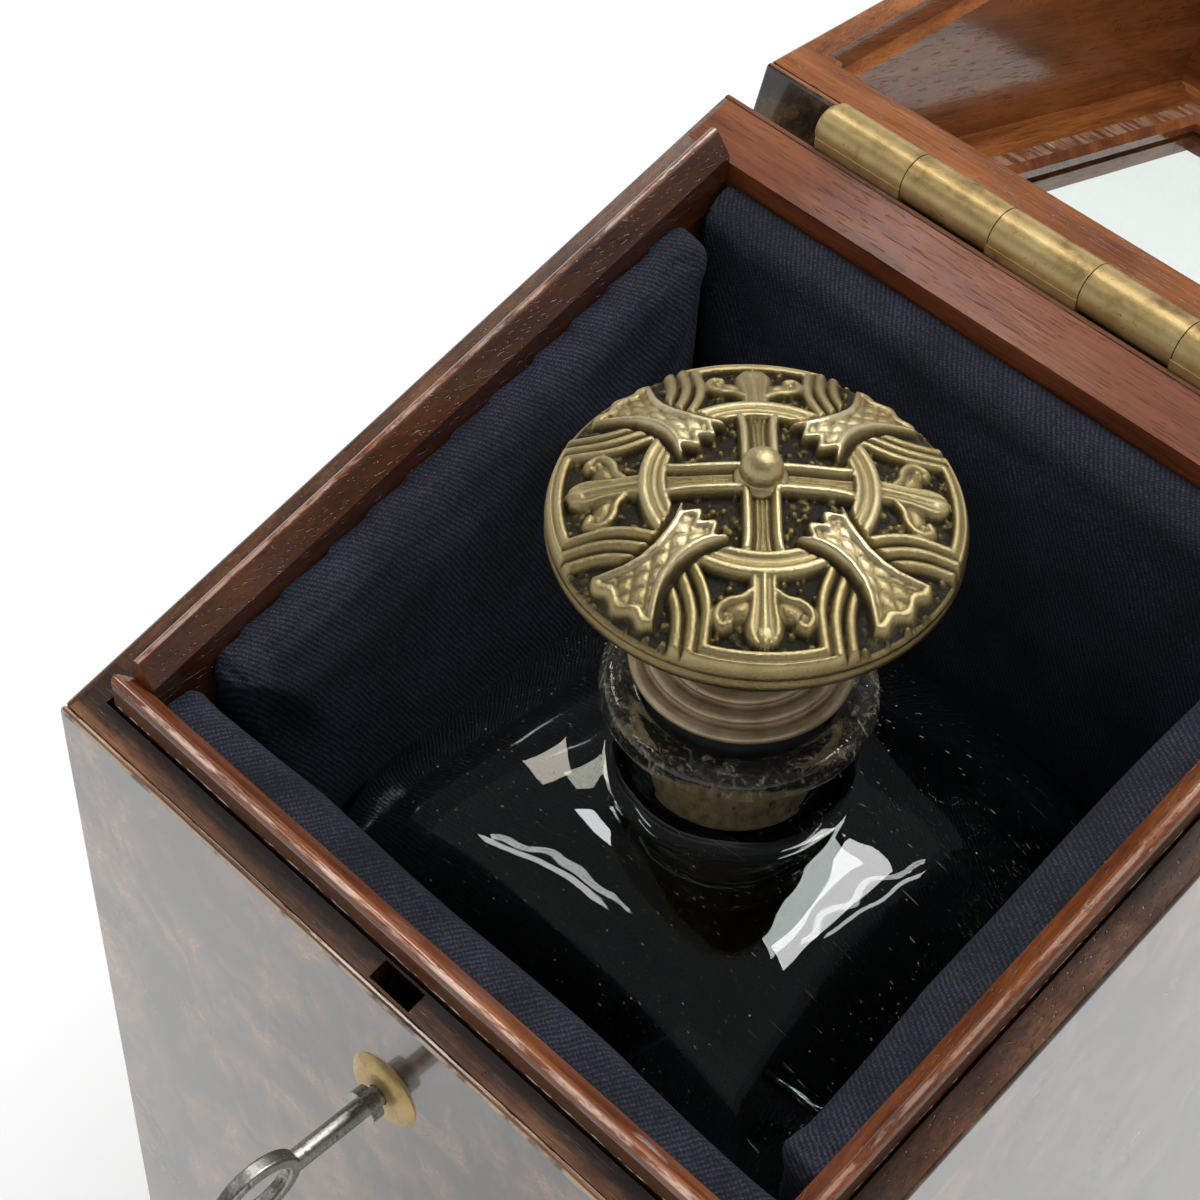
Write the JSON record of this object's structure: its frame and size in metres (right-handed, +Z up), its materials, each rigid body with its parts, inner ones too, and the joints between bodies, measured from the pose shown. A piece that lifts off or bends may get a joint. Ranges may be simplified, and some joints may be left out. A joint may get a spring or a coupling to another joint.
{
  "type": "single-decanter tantalus box",
  "caption": "Lockable sloping-rim box with a hinged glazed lid and a padded well that holds a square decanter with a cast medallion stopper.",
  "frame": {"origin": "centre of the flat underside of the box, on the surface it stands on", "axes": "+Z up, -Y towards the front of the box, +Y towards the hinge, +X to the right of someone facing the front"},
  "size_m": [0.1424, 0.3248, 0.2483],
  "materials": {
    "mahogany": "french polished",
    "bead_mahogany": "french polished",
    "burl_veneer": "high gloss burl",
    "green_baize": "felt",
    "navy_twill": "twill weave",
    "aged_brass": "satin, aged",
    "steel": "dull",
    "clear_glass": "clear",
    "lid_pane_glass": "clear",
    "cast_bronze": "antique, dark recesses",
    "satin_bronze": "satin",
    "dark_seal": "matt",
    "cork": "raw"
  },
  "bodies": {
    "box": {"back_pad": "navy_twill", "back_veneer": "burl_veneer", "back_wall": "mahogany", "base_baize": "green_baize", "base_board": "mahogany", "box_hinge_leaf": "aged_brass", "box_hinge_screws": "aged_brass", "escutcheon": "aged_brass", "floor_pad": "navy_twill", "front_bead": "bead_mahogany", "front_pad": "navy_twill", "front_veneer": "burl_veneer", "front_wall": "mahogany", "hinge_pin": "aged_brass", "left_bead": "bead_mahogany", "left_pad": "navy_twill", "left_veneer": "burl_veneer", "left_wall": "mahogany", "lock_case": "steel", "lock_screws": "steel", "right_bead": "bead_mahogany", "right_pad": "navy_twill", "right_veneer": "burl_veneer", "right_wall": "mahogany"},
    "lid": {"glazing_beads": "bead_mahogany", "lid_back_rail": "mahogany", "lid_back_veneer": "burl_veneer", "lid_back_wall": "mahogany", "lid_front_rail": "mahogany", "lid_front_veneer": "burl_veneer", "lid_front_wall": "mahogany", "lid_hinge_leaf": "aged_brass", "lid_hinge_screws": "aged_brass", "lid_left_rail": "mahogany", "lid_left_veneer": "burl_veneer", "lid_left_wall": "mahogany", "lid_pane": "lid_pane_glass", "lid_right_rail": "mahogany", "lid_right_veneer": "burl_veneer", "lid_right_wall": "mahogany", "link_plate": "aged_brass"},
    "decanter": {"decanter": "clear_glass"},
    "stopper": {"stopper_boss": "cast_bronze", "stopper_collar": "satin_bronze", "stopper_cork": "cork", "stopper_medallion": "cast_bronze", "stopper_seal": "dark_seal", "stopper_stud": "steel"},
    "bolt": {"lock_bolt": "steel"},
    "key": {"key": "steel"}
  },
  "joints": [
    {"name": "lid_hinge", "type": "hinge", "parent": "box", "child": "lid", "pos_m": [0, 0.07415, 0.23183], "axis": [1, 0, 0], "range_deg": [0, 198.43]},
    {"name": "decanter_lift", "type": "slide", "parent": "box", "child": "decanter", "axis": [0, 0, 1], "range_m": [0, 0.25]},
    {"name": "stopper_lift", "type": "slide", "parent": "decanter", "child": "stopper", "axis": [0, 0, 1], "range_m": [0, 0.09]},
    {"name": "key_turn", "type": "hinge", "parent": "box", "child": "key", "pos_m": [0, -0.05955, 0.16789], "axis": [0, 1, 0], "range_deg": [0, 180]},
    {"name": "bolt_slide", "type": "slide", "parent": "box", "child": "bolt", "axis": [1, 0, 0], "range_m": [0, 0.005]}
  ],
  "couplings": [
    {"joint": "key_turn", "follows": "bolt_slide", "rad_per_m": 628.32}
  ]
}
